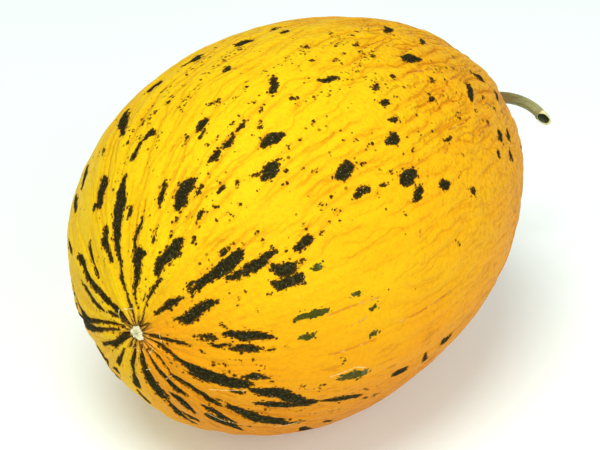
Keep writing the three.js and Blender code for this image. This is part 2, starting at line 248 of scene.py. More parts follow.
# Blotches and stripes, each a stroke of (station, turn in degrees, half width in millimetres)
DARK_STROKES = [
    # From above the blossom scar, over the top
    [(5.2, -53.6, 1), (7.5, -53.8, 1.1), (10.4, -58.2, 1.3), (12.8, -58.6, 1.6), (16, -61.6, 1.6),
     (20.2, -64.7, 1.8), (24.2, -65.2, 1.7), (28.4, -68.1, 1.7), (31.9, -68.7, 1.6), (36, -68.4, 1.8),
     (38.5, -66, 2.1), (41, -67, 2.3), (44, -68.5, 0.9)],
    [(6, -59.5, 0.8), (9.3, -65.6, 1), (12.1, -72.2, 1), (15.8, -76.6, 0.8)],
    [(18.6, -82.3, 0.8), (21.5, -83.4, 1.2), (24.9, -84.3, 1.6), (28.8, -82.6, 1.6), (32.5, -80.9, 1.4),
     (36.4, -80.9, 1)],
    [(51, -74.5, 1.4), (54, -75.5, 1.8), (58, -77, 1.5)],
    [(29.5, -55.5, 1.3), (33, -56.5, 1.2), (37, -55, 1.8), (40.5, -54.5, 1.8), (41.5, -51, 0.9)],
    [(29.5, -42, 0.6), (31, -40.5, 0.7)],
    [(30, -31.5, 1.1), (34, -32.5, 1.4), (38, -35.5, 2.2), (42, -33.5, 1.9), (44, -33, 1)],
    [(53, -43, 0.9), (55, -42.5, 1), (54, -38, 1.9), (58, -37.5, 2.7), (62, -36, 2.5),
     (65.5, -36.5, 0.9)],
    [(5.5, -11.5, 0.35), (8, -12, 0.45), (11, -14.5, 0.7), (14, -17.5, 0.9), (17, -19.5, 0.9),
     (20, -21.5, 0.9), (22.5, -23.5, 1.3), (26, -22, 0.8), (30, -22, 0.9)],
    [(30, -22, 0.9), (33, -23.5, 1.4), (38, -24.5, 2.2), (43, -24.5, 2.6), (48, -23.7, 2.8),
     (53, -22.7, 3.1), (57, -23.5, 2.2), (61, -23.3, 1.3), (63.5, -22.5, 0.6)],
    [(46.5, -16, 0.8), (50.5, -14.3, 0.9)],
    [(70.5, -21.5, 1.3), (74, -20.5, 1.5), (79, -20.5, 0.7)],
    [(80.5, -18.5, 1.6), (82.5, -17.5, 1.9)],
    [(77.5, -27.8, 0.7), (78.8, -27.5, 0.7)],
    [(87, -24.7, 0.6), (88.5, -24.3, 0.5)],
    [(92, -21.3, 0.5), (93.3, -21, 0.5)],
    [(98, -19, 0.8), (99.5, -18.8, 0.8)],
    [(83, -32, 1), (87, -33.5, 1.6), (91, -36, 2.6), (95, -38, 2.7), (99, -39.5, 1.6),
     (101.5, -39.5, 0.8)],
    [(64, -63, 1.6), (69, -64, 2), (73.5, -65.5, 1.4)],
    [(71, -57, 1), (76, -56, 2.4), (81.5, -56.5, 1.2)],
    [(77.5, -40.3, 0.5), (81, -42.5, 0.7)],
    [(12.5, 0.5, 0.3), (15, -1.5, 0.5), (18, -3.2, 0.9), (21, -3.5, 1.3), (24, -1.5, 1.7), (28, -2, 2.1),
     (32, -4, 2.8), (34.5, -2.5, 2.4), (35.5, 2.5, 0.8)],
    [(34, -6, 1.6), (36.5, -8, 1), (39.5, -8.7, 1.1), (43, -7, 0.9), (46, -5.3, 0.7), (48.5, -6.8, 0.3)],
    [(40.3, 5, 0.9), (42, 4.8, 0.7)],
    [(44, 3, 0.5), (45.3, 4, 0.6)],
    [(53.5, 1.5, 0.6), (57, 0, 1.8), (60, 0.5, 0.9), (62.8, -0.8, 0.7)],
    [(80.5, -1.5, 0.7), (83.5, -1.8, 0.7)],
    [(87.5, 0.3, 1.1), (90.5, 0, 2), (93.5, 0.3, 1.1)],
    [(85, 2.7, 0.5), (88.5, 2.2, 0.5)],
    [(100.7, -2.8, 0.5), (102, -1.2, 1), (104, -1, 0.7)],
    [(57.5, 9.5, 2.2), (59.5, 10, 2.6), (62, 8.5, 2.4), (65.5, 8.8, 2.9), (68.5, 9.8, 1.6)],
    [(64.5, 14, 0.6), (69, 14, 0.6)],
    [(45, 14, 0.5), (47.3, 13, 0.9)],
    [(51.8, 12.5, 0.5), (53.5, 11.8, 0.6)],
    [(79, 10.8, 1.1), (81.5, 11.3, 1.5), (84, 11, 1.1)],
    [(87.5, 12, 1.3), (90, 12.2, 1.4), (92.5, 11.5, 0.9)],
    [(95, 11, 0.6), (98.5, 11.3, 0.9), (101, 10.8, 0.5)],
    [(100.5, 15.8, 0.4), (104, 15, 0.6)],
    [(4.5, 15, 0.5), (7, 20.5, 0.7), (10, 20, 0.5), (13, 18, 0.4), (16, 17, 0.5), (20, 18, 0.8),
     (24, 18.8, 0.9), (28, 20.3, 1.2), (30.5, 22, 0.6)],
    [(16, 11, 0.3), (20, 11.5, 0.4)],
    [(30, 15.5, 1.6), (33, 14.5, 2.1), (36, 14.7, 2), (38, 17, 2.7), (41, 18.7, 2.9), (44.5, 19, 2.7),
     (47.5, 19.5, 1.3)],
    [(41, 22.5, 0.9), (43, 24.5, 0.6)],
    [(49.5, 25.8, 0.8), (51, 25, 0.8)],
    [(58, 20.5, 0.8), (61, 20.5, 0.6)],
    [(70.5, 21, 0.7), (73, 20.5, 1.1)],
    [(77.5, 24, 0.8), (79, 24, 0.6)],
    [(96, 21.3, 0.9), (99, 20.8, 2.3), (102, 21.5, 2.7), (105.5, 22.3, 1.1)],
    [(84, 26.2, 0.8), (86, 26.7, 0.8)],
    [(86, 29, 1), (89, 29, 2.3), (91.5, 28.5, 2.9), (94, 28.3, 1.4)],
    [(94.5, 31.8, 0.6), (95.8, 32, 0.6)],
    # The side that faces -Y, round to the belly
    [(4.8, 32, 0.4), (7, 35.5, 0.6), (9, 40, 0.5), (10.5, 42, 0.3)],
    [(15, 38, 0.5), (18, 39, 0.8), (22, 40.3, 1.7), (26, 41, 2), (28.5, 42, 1.3), (31, 43.5, 0.7)],
    [(35.5, 41, 0.8), (37, 40, 0.8), (39, 40, 0.8)],
    [(35, 44, 1), (38, 43.7, 1.8), (42, 43.5, 2), (46, 43.7, 2), (50, 44.3, 2.6), (55, 44.5, 2.6),
     (59, 44, 2.2), (62, 43.5, 1.1)],
    [(54, 40, 0.6), (56, 39.2, 1.4), (58, 38.8, 0.6)],
    [(51.5, 49.5, 1), (54.5, 50.5, 1.7), (57.5, 50, 1)],
    [(58.5, 51.5, 1.3), (60, 49.3, 1.2), (62.5, 51.3, 2.3), (66, 51.3, 2.1), (69, 50.5, 1.5),
     (72, 50.3, 1.4)],
    [(79.5, 54, 1), (83, 53.5, 2.1), (86.5, 53, 1.9)],
    [(22.5, 55.5, 0.8), (24.5, 56.5, 1), (27, 59.5, 2.1), (29, 59.5, 2.4), (33, 57, 2.6), (37, 56, 2.2),
     (40, 56, 1.9), (42, 56, 0.7)],
    [(25.5, 60.3, 0.6), (28.5, 62, 0.9)],
    [(69, 54.5, 1.2), (70.5, 57.5, 2.2), (73, 58, 2.9), (76, 58.5, 1.8)],
    [(66, 60, 0.9), (68, 62, 2), (72, 62.3, 2.2), (76.5, 63, 2.1)],
    [(41, 70, 0.8), (42, 71.5, 0.8)],
    [(28, 75.3, 0.8), (31, 74.5, 1), (34, 76, 1.4), (36.5, 76.5, 1), (38, 78.5, 0.6)],
    [(34.5, 82.6, 0.9), (37.2, 84, 1.2), (42, 82.2, 0.9)],
    [(41, 76, 1), (43.5, 75.5, 1.3), (46, 77.5, 1.8), (49, 78.5, 2.3), (53, 79, 1.9), (57, 80.5, 1.6),
     (60, 81.5, 1)],
    [(43, 85.5, 0.9), (45, 85.5, 1.6), (48, 85, 1.6), (51, 86, 1.7), (53.5, 87, 1)],
    [(58, 87.7, 0.6), (60, 87, 0.6)],
    [(31, 89.3, 0.5), (32, 90.7, 0.5)],
    [(49.5, 102.2, 1.1), (53.1, 101.2, 1.8), (56.5, 102.1, 1.1)],
    [(7, 75, 0.6), (10, 76.5, 0.9), (12.8, 78.1, 1.1), (16.5, 80, 1.3), (21, 82.5, 1.3),
     (25.7, 84.4, 0.7)],
    [(7, 88, 0.5), (12.6, 96, 0.8), (16.3, 98.8, 1), (20.4, 104.2, 1.2), (24, 105.7, 1.3),
     (26.9, 107.3, 2.3), (30.5, 108.8, 3.3), (35.8, 108.4, 3.4), (41.3, 108.3, 3.4), (46.8, 108.2, 3),
     (50.2, 107, 2), (52.3, 106.5, 0.8)],
    [(25, 115, 0.7), (28, 114.5, 1.1), (33, 114.3, 1.2), (37, 113.5, 1.1)],
    [(45.3, 115, 1), (50.1, 113.8, 0.9)],
    [(54.8, 110.7, 1.8), (59.8, 110.4, 2.8), (65, 110.5, 3.2), (70.2, 113.4, 2.9), (74.2, 114.6, 2.6),
     (77, 116, 1.8), (80, 116.5, 1.9), (84, 117.3, 1.2)],
    [(58.4, 119.4, 1.3), (63.5, 118.8, 2), (70, 118.5, 2.1), (76.5, 118.5, 1.4), (80.8, 118.5, 1.1)],
    [(87, 117, 0.9), (91, 116.7, 1.3), (95, 117, 1.9), (99, 117.5, 1.9), (104, 118.3, 1.2),
     (107, 118, 0.5)],
    [(9.3, 123, 0.5), (12.4, 123.6, 0.7), (14.6, 125.9, 0.8), (17.5, 129.6, 0.6), (20.1, 131.3, 0.6),
     (22, 132.7, 0.5)],
    [(22.3, 133.9, 1.1), (25.6, 131.3, 1.4), (29.3, 129.9, 1.7), (32.9, 129.9, 1.7), (36.8, 129.7, 1.8),
     (40.6, 130.6, 1.8), (44.2, 130.9, 1.6), (46.5, 130.6, 1)],
    [(43, 126.5, 0.5), (48, 126.5, 0.5)],
    [(49.5, 128.6, 1.7), (54.3, 128.9, 2.6), (59.6, 129.9, 2.9), (63.9, 130.8, 3.1), (68.4, 130.3, 2.9),
     (74.6, 130.9, 2.4), (78.1, 131.6, 1.6)],
    [(78.2, 132.5, 0.9), (82.5, 131.6, 1.1), (86.4, 130.1, 0.7)],
    [(41.4, 137.9, 1.1), (45, 137.7, 1.9), (49.6, 138.5, 1.9), (54, 138.9, 1.7), (57.9, 139.3, 1.2)],
    [(47.3, 143.4, 1.6), (51.3, 143.7, 2.5), (56, 144.1, 2.7), (60.3, 144, 2.5), (64.9, 145.1, 1.6)],
    [(7, 131, 0.4), (9.5, 133, 0.3)],
    [(8.5, 142, 0.7), (11.6, 144.6, 1.1), (14.8, 145, 1.4), (17.7, 145.4, 1.7), (20.4, 143.5, 1.8),
     (23.1, 143.8, 1.8), (26.1, 143.3, 1.8), (29.4, 142.2, 1.7), (32.5, 139.9, 1.1)],
    [(30.6, 153.4, 1.6), (33.4, 150.1, 2), (37, 149.5, 2.1), (40.6, 151, 1.9), (43.8, 151.1, 1.2)],
    [(91, 137, 1.3), (95, 140, 2.3), (99, 143, 2.2), (104, 144.5, 1.4)],
    [(100, 134, 1), (105, 135, 0.8)],
    # Under the scar and round the far side of it
    [(5.5, 160, 0.6), (7.9, 167.1, 1), (13.2, 171.1, 1.5), (16.2, 170.8, 1.5), (19.8, 170, 2.3),
     (23.3, 169.4, 2.6), (26.4, 167.8, 2.9), (30.1, 167.2, 2.6), (32.6, 166.7, 1.9), (34.3, 163.6, 1.2)],
    [(29.5, 162, 1), (32, 161, 1.3), (33.3, 163, 0.8)],
    [(35.9, 165.3, 1.2), (41, 164.5, 1.9), (45.3, 164.8, 1.9), (50.3, 165.1, 1.9), (54, 164, 1.9),
     (56.5, 164, 1.4)],
    [(43.2, 162.6, 1), (47.1, 159.1, 1.5), (52.1, 157.2, 1.1)],
    [(39.5, 192, 1.3), (43.4, 189.5, 1.6), (47.7, 187.9, 1.4)],
    [(6, 189, 0.6), (8.3, 191.6, 0.8), (12.7, 192.5, 1.2), (18.8, 195.4, 1.3), (20.9, 193.7, 1.2),
     (24.8, 192.7, 1.3), (27.8, 190.9, 2.1), (33.1, 191.5, 2.8)],
    [(16, 213.1, 0.9), (21.6, 212.3, 1.4), (27.8, 211.4, 1.1)],
    [(34.5, 213, 1.2), (38, 209.4, 1.3)],
    [(6.5, 209.1, 0.8), (9.5, 208.7, 0.7)],
    [(5.3, 245.3, 1.3), (7, 241.2, 1.8), (10.1, 234.9, 1.8), (16.3, 229.8, 1.6), (19.6, 228.9, 2.1),
     (20.5, 232.5, 1.3), (25, 232.5, 1.2), (30.3, 231.5, 1.2)],
    [(47, 229, 1.6), (43, 227, 3), (40.6, 222.5, 3)],
    [(43.2, 219.5, 1.2), (44.5, 214.5, 1.4), (47.1, 210, 1)],
    [(50, 219, 1.6), (58, 220, 1.4)],
    [(9.9, 256.1, 0.6), (14, 254.4, 0.9), (21.5, 249.8, 1.2), (28, 247, 1.5), (34, 246, 2.4),
     (39, 246.5, 3.6), (48, 246, 3.3), (56, 243, 1.6)],
    [(6.8, 277.3, 0.7), (10.4, 269.3, 0.9), (16.6, 262.1, 0.9), (24, 257.5, 1), (29, 254.2, 1.3),
     (34.7, 251.9, 1.9), (38.5, 253.6, 2.6), (42.6, 256.1, 1.9), (45.7, 258.7, 1.3)],
    [(52.3, 265, 0.8), (50.6, 258.2, 1), (52, 250, 1)],
    # The middle
    [(110.5, -33.8, 1.6), (115, -33, 1.8)],
    [(128.5, -28.3, 2.2), (132, -27, 3.1), (135, -27.3, 2.3)],
    [(145, -16.7, 2.1), (148.5, -15.8, 2.8)],
    [(121.2, -8.2, 1.1), (123.2, -8.6, 1.6)],
    [(118.5, 9.8, 0.9), (120.5, 9.6, 1.5), (123.5, 8, 1.8), (125.5, 6.6, 1.4), (127.5, 6.2, 0.6)],
    [(107.5, 12.3, 0.6), (110.5, 11.6, 0.7)],
    [(122, 15.4, 0.9), (122.3, 16, 0.9)],
    [(138, 16, 0.8), (141, 17, 1.3), (144, 17.6, 1.3), (146.5, 17.9, 1.1)],
    [(118, 25.8, 0.9), (120, 25.6, 0.5)],
    [(154.5, 27.2, 0.8), (156.5, 26.7, 1.2), (158.3, 26.2, 0.8)],
    [(152.5, 32, 1.7), (154, 32, 1.7)],
    [(148, 37, 0.7), (150, 37.6, 1.4), (152, 37.5, 1)],
    [(111.7, 42.4, 2.2), (114.5, 42, 3), (117, 41.7, 2.8)],
    [(140, 42, 1.5), (143, 42, 2.5), (145, 41.5, 1.9)],
    [(112.8, 49.5, 1.1), (116, 49, 1.4), (118.8, 49.5, 1.4)],
    [(125.5, 50.8, 0.5), (127.3, 51.3, 0.7)],
    [(137, 53, 2.6), (140.5, 52.8, 3.1), (143.5, 52.8, 1.8)],
    [(138, 59, 1.6), (140.5, 58, 2.2), (142.5, 57.4, 1.5)],
    [(154, 59.8, 1.3), (156, 60.2, 2.3), (158, 60.5, 1.7)],
    [(121.5, 112.3, 2.3), (126.5, 112.5, 2.3)],
    [(137, 110, 1), (140, 113.5, 1.3)],
    [(149, 110, 1.4), (155, 110, 1.3)],
    [(117, 122, 1), (119, 122, 0.9)],
    [(110, 121, 0.7), (111, 121, 0.6)],
    # The stem half
    [(165, -15.5, 0.9), (168, -16.5, 1.1)],
    [(160.5, -9.5, 0.9), (163.5, -9.7, 1.2)],
    [(171.5, 11.2, 0.5), (174, 10.8, 0.7)],
    [(172, 17.5, 0.7), (173.7, 16.9, 0.9)],
    [(169, 26.3, 1), (170.5, 26.2, 1.1)],
    [(188, 21.8, 1.9), (191.5, 22.7, 3), (195, 23.8, 2.1)],
    [(188, 33.5, 0.9), (189.6, 32.7, 1)],
    [(177.5, 38.2, 1), (179.3, 37.8, 1.3)],
    [(171.8, 66.8, 0.9), (173, 67.2, 1.7)],
    [(168.5, 49.7, 0.5), (172, 50.3, 0.9), (175, 50.2, 0.5)],
    [(206, 43.3, 1.9), (209, 41.8, 2.3), (212, 39.8, 2)],
    [(201.5, 8.3, 1.4), (205, 7, 2)],
    [(205.6, 63.1, 1.7), (205.2, 64, 1.7)],
    [(214.5, 60.7, 1.6), (217.3, 59, 1.9)],
    [(213, 17.4, 1.3), (216.5, 16.2, 1.3)],
    [(220, 67.6, 1.6), (218.8, 69.2, 1.6)],
    [(227.3, 61.3, 1.7), (225, 62.9, 1.7)],
    [(229, 36, 1.3), (233, 38.7, 2.2)],
    [(236, 48.8, 1.3), (242, 47, 1.5)],
]
# Single round spots, each (station, turn in degrees, radius in millimetres)
DARK_DOTS = [
    (83.7, 6.7, 0.6), (88.3, 7.7, 0.5), (97, 8.3, 0.5), (75, 18.5, 0.4),
    (65.5, 24, 0.7), (61.5, 26.5, 0.4), (67.5, 29.8, 0.5), (72, 30.2, 0.5), (97, 28.5, 0.5),
    (91, 34.5, 0.4), (101, 34.5, 0.5), (49.5, 37, 0.4), (64, 41.3, 0.4), (70.5, 41.5, 0.4),
    (70.5, 45.3, 0.5), (87.5, 48.5, 0.7), (95.5, 42, 0.5), (96.7, 42.3, 0.6), (98, 46.3, 0.8),
    (103, 46, 0.5), (97, 52, 0.5), (102, 50.3, 0.6), (79.5, 49, 0.4),
    (76, 52.5, 0.4), (92, 53.3, 0.7), (20.5, 53.5, 0.5), (18, 57, 0.4), (44, 56.5, 0.4),
    (51.5, 59.8, 0.5), (50.5, 62, 0.3), (55, 58.5, 0.3), (56.5, 68.5, 0.5), (80.5, 58, 0.9),
    (63, 63.7, 0.5), (49, 73.5, 0.5), (55, 86.5, 0.4), (66, 87, 0.6), (51.8, 92.5, 0.7),
    (35.5, 97, 1.1), (40.7, 96.8, 0.8), (40, 101.5, 0.9), (42.5, 101, 0.5), (45, 101.5, 0.5),
    (60.5, 103.7, 0.6), (17, 113, 0.4), (21, 115.5, 0.7), (40, 118, 0.4), (73.5, 106.5, 0.7),
    (83, 107, 0.7), (64, 124, 0.5), (66, 139, 0.8), (78, 139, 0.6), (13, 214, 0.4), (24, 224, 0.5),
    (21, 197.5, 0.4), (6.5, 257, 0.4), (21.5, 275, 0.4),
    (110, 8.2, 0.5), (114.9, 2.9, 0.6), (101.5, 8.3, 0.5), (103, 26.4, 0.6),
    (107.8, 27, 0.4), (105.8, 32.8, 0.5), (113, 35.9, 0.4), (122.5, 34.7, 0.5), (124, 34.9, 0.4),
    (127.7, 36.3, 0.5), (132.4, 39.7, 0.6), (149, 20, 0.6), (156, 12.4, 0.7), (154.5, 12.6, 0.4),
    (149.8, 3, 0.9), (152.5, 3.2, 0.8), (154.2, 2.6, 0.8), (155.7, 2.4, 0.6), (146, 8.5, 0.5),
    (147.5, 9, 0.6), (136.2, 13.2, 0.6), (123, 43.3, 0.5), (124.4, 43, 0.5), (132.5, 48.7, 0.6),
    (133.8, 48.9, 0.5), (121.7, 52.2, 0.6), (149.8, 47.4, 0.8), (149, 50.9, 0.7), (149.2, 55.3, 0.5),
    (129.3, 61.4, 0.7), (101, 53.6, 0.7), (102, 50.6, 0.6), (103.5, 45.8, 0.6), (104.3, 14.8, 0.6),
    (102.5, 15.6, 0.5), (103.5, -18.8, 0.6), (107, -19.8, 0.6), (110, -17.5, 0.5), (107, -26, 0.9),
    (171.2, 2.2, 0.7), (172.5, 1.8, 0.6), (171.5, 4.6, 0.7), (164.2, 8, 0.7), (166.5, 7.7, 0.6),
    (170, 14.4, 0.7), (161, 12.4, 0.5), (175.5, 9, 0.6), (178.5, 6.3, 0.6), (180.5, 12.3, 0.7),
    (183, 5.4, 0.7), (179.5, 36.1, 0.6), (179.3, 41.5, 0.5), (188.2, 44.8, 0.6), (188.4, 46.8, 0.8),
    (186.5, 46.3, 0.5), (197.5, 34.5, 0.6), (203.5, 47.5, 0.6), (206.5, 51.5, 0.7), (209.5, 52.6, 0.6),
    (220.4, 45.2, 0.9), (220.6, 48.8, 0.6), (224.4, 50.9, 0.9), (226.5, 27, 0.8), (198.5, 11, 0.7),
    (235, 54, 0.9), (244, 73, 1.1), (161.5, 32.5, 0.5), (163.5, 39.5, 0.5), (165, 45.8, 0.4),
    (157.8, 45, 0.4), (181.5, 56, 0.4), (176, 56.5, 0.4), (168, 60.5, 0.4), (154.1, 77, 0.6),
]
# Half green blotches, where the colour is still thin
GREEN_STROKES = [
    [(69, 77, 0.7), (73, 76, 1.4), (77, 77, 1.7), (81, 77, 1.9), (83.5, 77, 0.9)],
    [(71, 84.5, 1.2), (74, 85, 1.4), (77, 84.3, 0.8)],
    [(95, 75.5, 1), (98.5, 75.8, 1)],
    [(102.5, 82.5, 1.1), (105, 82, 0.8)],
    [(102, 91.5, 1.3), (104, 91, 1.2)],
    [(89.5, 98, 0.9), (91, 98, 0.7)],
    [(83, 62, 1), (85.5, 62.5, 1.8)],
    [(89, 105.5, 1), (93, 105.3, 2.2), (97, 105.3, 2.8), (101, 105.5, 2)],
    [(200, 8.5, 1.3), (205, 6.5, 1.5)],
]
# Places where the dark colour only breaks through as loose crumbs
CRUMB_STROKES = [
    [(27, 43.5, 1.5), (33, 47, 1.5)],
    [(34, 20, 2.0), (44, 23, 2.0)],
    [(16, 6, 1.2), (26, 9, 1.5)],
    [(54, 14, 2.5), (70, 13, 2.0)],
    [(56, 20, 2.5), (74, 19, 2.5)],
    [(60, -26, 2.0), (92, -22, 4.0)],
    [(84, -28, 3.0), (130, -22, 4.5)],
    [(96, -12, 3.5), (140, -14, 4.5)],
    [(104, 2, 3.0), (150, 4, 3.5)],
    [(150, 20, 3.0), (178, 14, 3.5)],
    [(66, -10, 2.5), (84, -14, 3.0)],
    [(38, 100, 2.0), (48, 102, 1.6)],
    [(30, 79, 1.8), (40, 77, 1.8)],
    [(76, 108, 2.0), (118, 117, 3.0)],
    [(44, 91, 2.0), (56, 96, 2.0)],
    [(70, 122, 2.5), (100, 126, 3.0)],
    [(20, 60, 1.4), (24, 66, 1.4)],
    [(24, -60, 1.6), (27, -50, 1.6)],
    [(168, 49.5, 2.2), (174, 50.5, 2.0)],
    [(180, 35, 2.5), (192, 42, 3.0)],
    [(134, -24.5, 1.5), (138, -22, 1.5)],
    [(161, -21.5, 1.8), (166, -24, 2)],
    [(104, -22, 2.5), (108, -26, 2.5)],
    [(150, 3, 1.8), (157, 2.5, 1.8)],
    [(164, 8, 2.2), (184, 6, 3)],
    [(120, 17.5, 2), (140, 21.5, 2.5)],
    [(138, 9, 1.6), (150, 8.5, 1.6)],
    [(158, 20, 2.5), (166, 28, 3)],
    [(190, 6, 3), (200, 2, 3)],
    [(196, 30, 3), (226, 34, 4)],
    [(214, 47, 2), (224, 51, 2.5)],
    [(186, 46, 1.2), (189, 45.5, 1.4)],
]

# Healed cracks, each a run of (station, turn in degrees): stitches across the stripes round the blossom
# scar, pale scratches on the belly, and reddish corky cracks towards the stem
STITCHES = [
    [(11.4, -59), (10.6, -66)],
    [(10.8, -30), (10.8, -12)],
    [(12.2, 72), (12.7, 87)],
    [(9.0, 113), (9.3, 136)],
    [(8.2, 182), (8.5, 196)],
    [(22, 137), (22.3, 143)],
    [(17, 163.5), (17.4, 167.5)],
    [(47.5, 143), (53, 142), (57.8, 141.3)],
    [(38.5, 119.5), (44, 115.5), (49.7, 112.4)],
    [(76.5, 134.8), (84, 131.6)],
    [(86, 103.4), (93.2, 102.4)],
    [(96.3, 101.9), (99.9, 102.9)],
]
CORK_CRACKS = [
    [(206.2, 34.6), (200, 35.2), (194, 36.6), (188, 37.6), (183.2, 38.7)],
    [(196.5, 48.2), (190, 48.8), (184, 48.6), (176.8, 48.1)],
    [(211.1, 54.5), (204, 53.8), (199, 54.6), (195, 54.7)],
    [(194.5, 28.9), (187, 28.4), (180.6, 27.2)],
    [(168.2, 52.4), (166, 52.9)],
    [(132.9, 67.5), (132.2, 68.5)],
    [(84.4, 78.9), (90.7, 79), (97.5, 79), (105.5, 79.6)],
    [(91.9, 85.4), (95.6, 85.3), (99.4, 84.6)],
    [(83.6, 94), (89.7, 94.2), (96.6, 93.6), (103.2, 93.5)],
    [(115.1, 90.8), (124.4, 90.9), (134.5, 90.8), (146.4, 90.4)],
]

# The far side, which no one has seen, carries marks of the same kinds, set by a seeded rule
SEEN_FROM = np.array([-0.682, -0.532, 0.502])
HIDDEN_BELOW = 0.02
FAR_SEED = 20
FAR_BLOTCHES = 150
FAR_SCAR_STRIPES = 16
far = random.Random(FAR_SEED)


def faces_the_known_side(at_station, at_turn):
    """How squarely a place of the rind faces the side whose blotches are known, from -1 to 1."""
    here, above = skin_place(at_station, at_turn), skin_place(at_station, at_turn, 1.0)
    return float(np.dot(above - here, SEEN_FROM))


for number in range(FAR_BLOTCHES):
    if number < FAR_SCAR_STRIPES:
        start = far.uniform(10, 14)
        degrees = 184 + number * 6.4 + far.uniform(-2, 2)
        stretch = far.choice([16, 22, 30, 44])
    else:
        start = 28 + 250 * far.random() ** 1.25
        degrees = far.uniform(0, 360)
        stretch = far.choice([1, 1, 1, 3, 3, 5, 8]) if start > 70 else far.choice([3, 6, 10, 18, 26])
    half_width = far.uniform(0.5, 1.3) if stretch < 2 else far.uniform(1.3, 2.9)
    if faces_the_known_side(start + stretch / 2, math.radians(degrees)) > HIDDEN_BELOW:
        continue
    steps = max(2, round(stretch / 5))
    DARK_STROKES.append([
        (
            start + stretch * step / (steps - 1),
            degrees + far.uniform(-1.5, 1.5),
            half_width * (0.55 if step in (0, steps - 1) else far.uniform(0.8, 1.15)),
        )
        for step in range(steps)
    ])

skin_points = skin_place(station, turn)


def stroke_field(strokes, furthest=12.0):
    """How far each point of the rind is from the nearest stroke's edge, less than 0 inside."""
    field = np.full(len(station), furthest)
    for stroke in strokes:
        ends = [(skin_place(s, math.radians(degrees)), half) for s, degrees, half in stroke]
        for (start, start_half), (end, end_half) in zip(ends, ends[1:] or ends):
            run = end - start
            reach = np.linalg.norm(run) + furthest
            near = np.flatnonzero(np.abs(skin_points - start).max(axis=1) < reach + 4)
            offsets = skin_points[near] - start
            share = np.clip(offsets @ run / max(run @ run, 1e-9), 0, 1)
            gap = np.linalg.norm(offsets - share[:, None] * run, axis=1)
            field[near] = np.minimum(field[near], gap - start_half - share * (end_half - start_half))
    return field


def crack_fields(cracks):
    """How far each point of the rind is beside the nearest crack, with a sign, and from its length."""
    side, gap = np.full(len(station), 9.0), np.full(len(station), 9.0)
    for crack in cracks:
        places = [skin_place(s, math.radians(degrees)) for s, degrees in crack]
        first_station, first_turn = crack[0][0], math.radians(crack[0][1])
        outward = skin_place(first_station, first_turn, 1.0) - places[0]
        for start, end in zip(places, places[1:]):
            run = end - start
            beside = np.cross(run, outward)
            offsets = skin_points - start
            share = np.clip(offsets @ run / (run @ run), 0, 1)
            distance = np.linalg.norm(offsets - share[:, None] * run, axis=1)
            closer = distance < gap
            gap[closer] = distance[closer]
            side[closer] = (offsets @ beside / np.linalg.norm(beside))[closer]
    return side, gap


stitch_side, stitch_gap = crack_fields(STITCHES)
cork_side, cork_gap = crack_fields(CORK_CRACKS)
crack_red = (cork_gap < stitch_gap).astype(float)
crack_side = np.where(crack_red > 0, cork_side, stitch_side)
crack_gap = np.minimum(cork_gap, stitch_gap)

blotch = stroke_field(DARK_STROKES + [[dot] for dot in DARK_DOTS])
green = stroke_field(GREEN_STROKES)
crumbs = stroke_field(CRUMB_STROKES)
PIT_DEPTH = 0.45
relief -= PIT_DEPTH * smooth(0.8, -1.0, blotch) * smooth(75, 30, station) * smooth(4, 12, station)

points = skin_place(station, turn, relief)
points[:, 2] = np.maximum(0, points[:, 2])
for tip in (station == station.min(), station == station.max()):
    points[tip] = points[tip].mean(axis=0)

# Specks are most on top, and few low on the sides
speckling = smooth(0.1, 0.75, np.cos(turn + math.radians(12))) + 0.8 * drift(50, 40, 31.0)
# Painted shade: the side low towards -Y is painted more orange and darker
painted_shade_side = smooth(-0.1, 0.9, np.cos(turn - math.radians(105)))
marks = {
    "blotch": blotch,
    "green": green,
    "crumbs": crumbs,
    "crack_side": crack_side,
    "crack_gap": crack_gap,
    "crack_red": crack_red,
    "wrinkle": wrinkle,
    "fine_wrinkle": fine_wrinkle,
    "coarse_reach": coarse_reach,
    "fine_reach": fine_reach,
    "station": station,
    "creases": blossom_wave + 0.6 * fine_wave,
    "on_scar": on_scar,
    "speckling": np.clip(speckling, 0, 1) * smooth(14, 50, station),
    "painted_shade_side": painted_shade_side,
}
for name, values in marks.items():
    give_points(fruit, name, values)
# Places on a rind rolled out even and drawn together lengthwise, so that patterns run along the fruit
ROLLED_STRETCH = 3
rolled_places = [WIDTH / 2 * np.cos(turn), WIDTH / 2 * np.sin(turn), station / ROLLED_STRETCH]
give_points(fruit, "rolled", np.stack(rolled_places, axis=-1) * MM, "FLOAT_VECTOR")
roll_up(fruit, points)


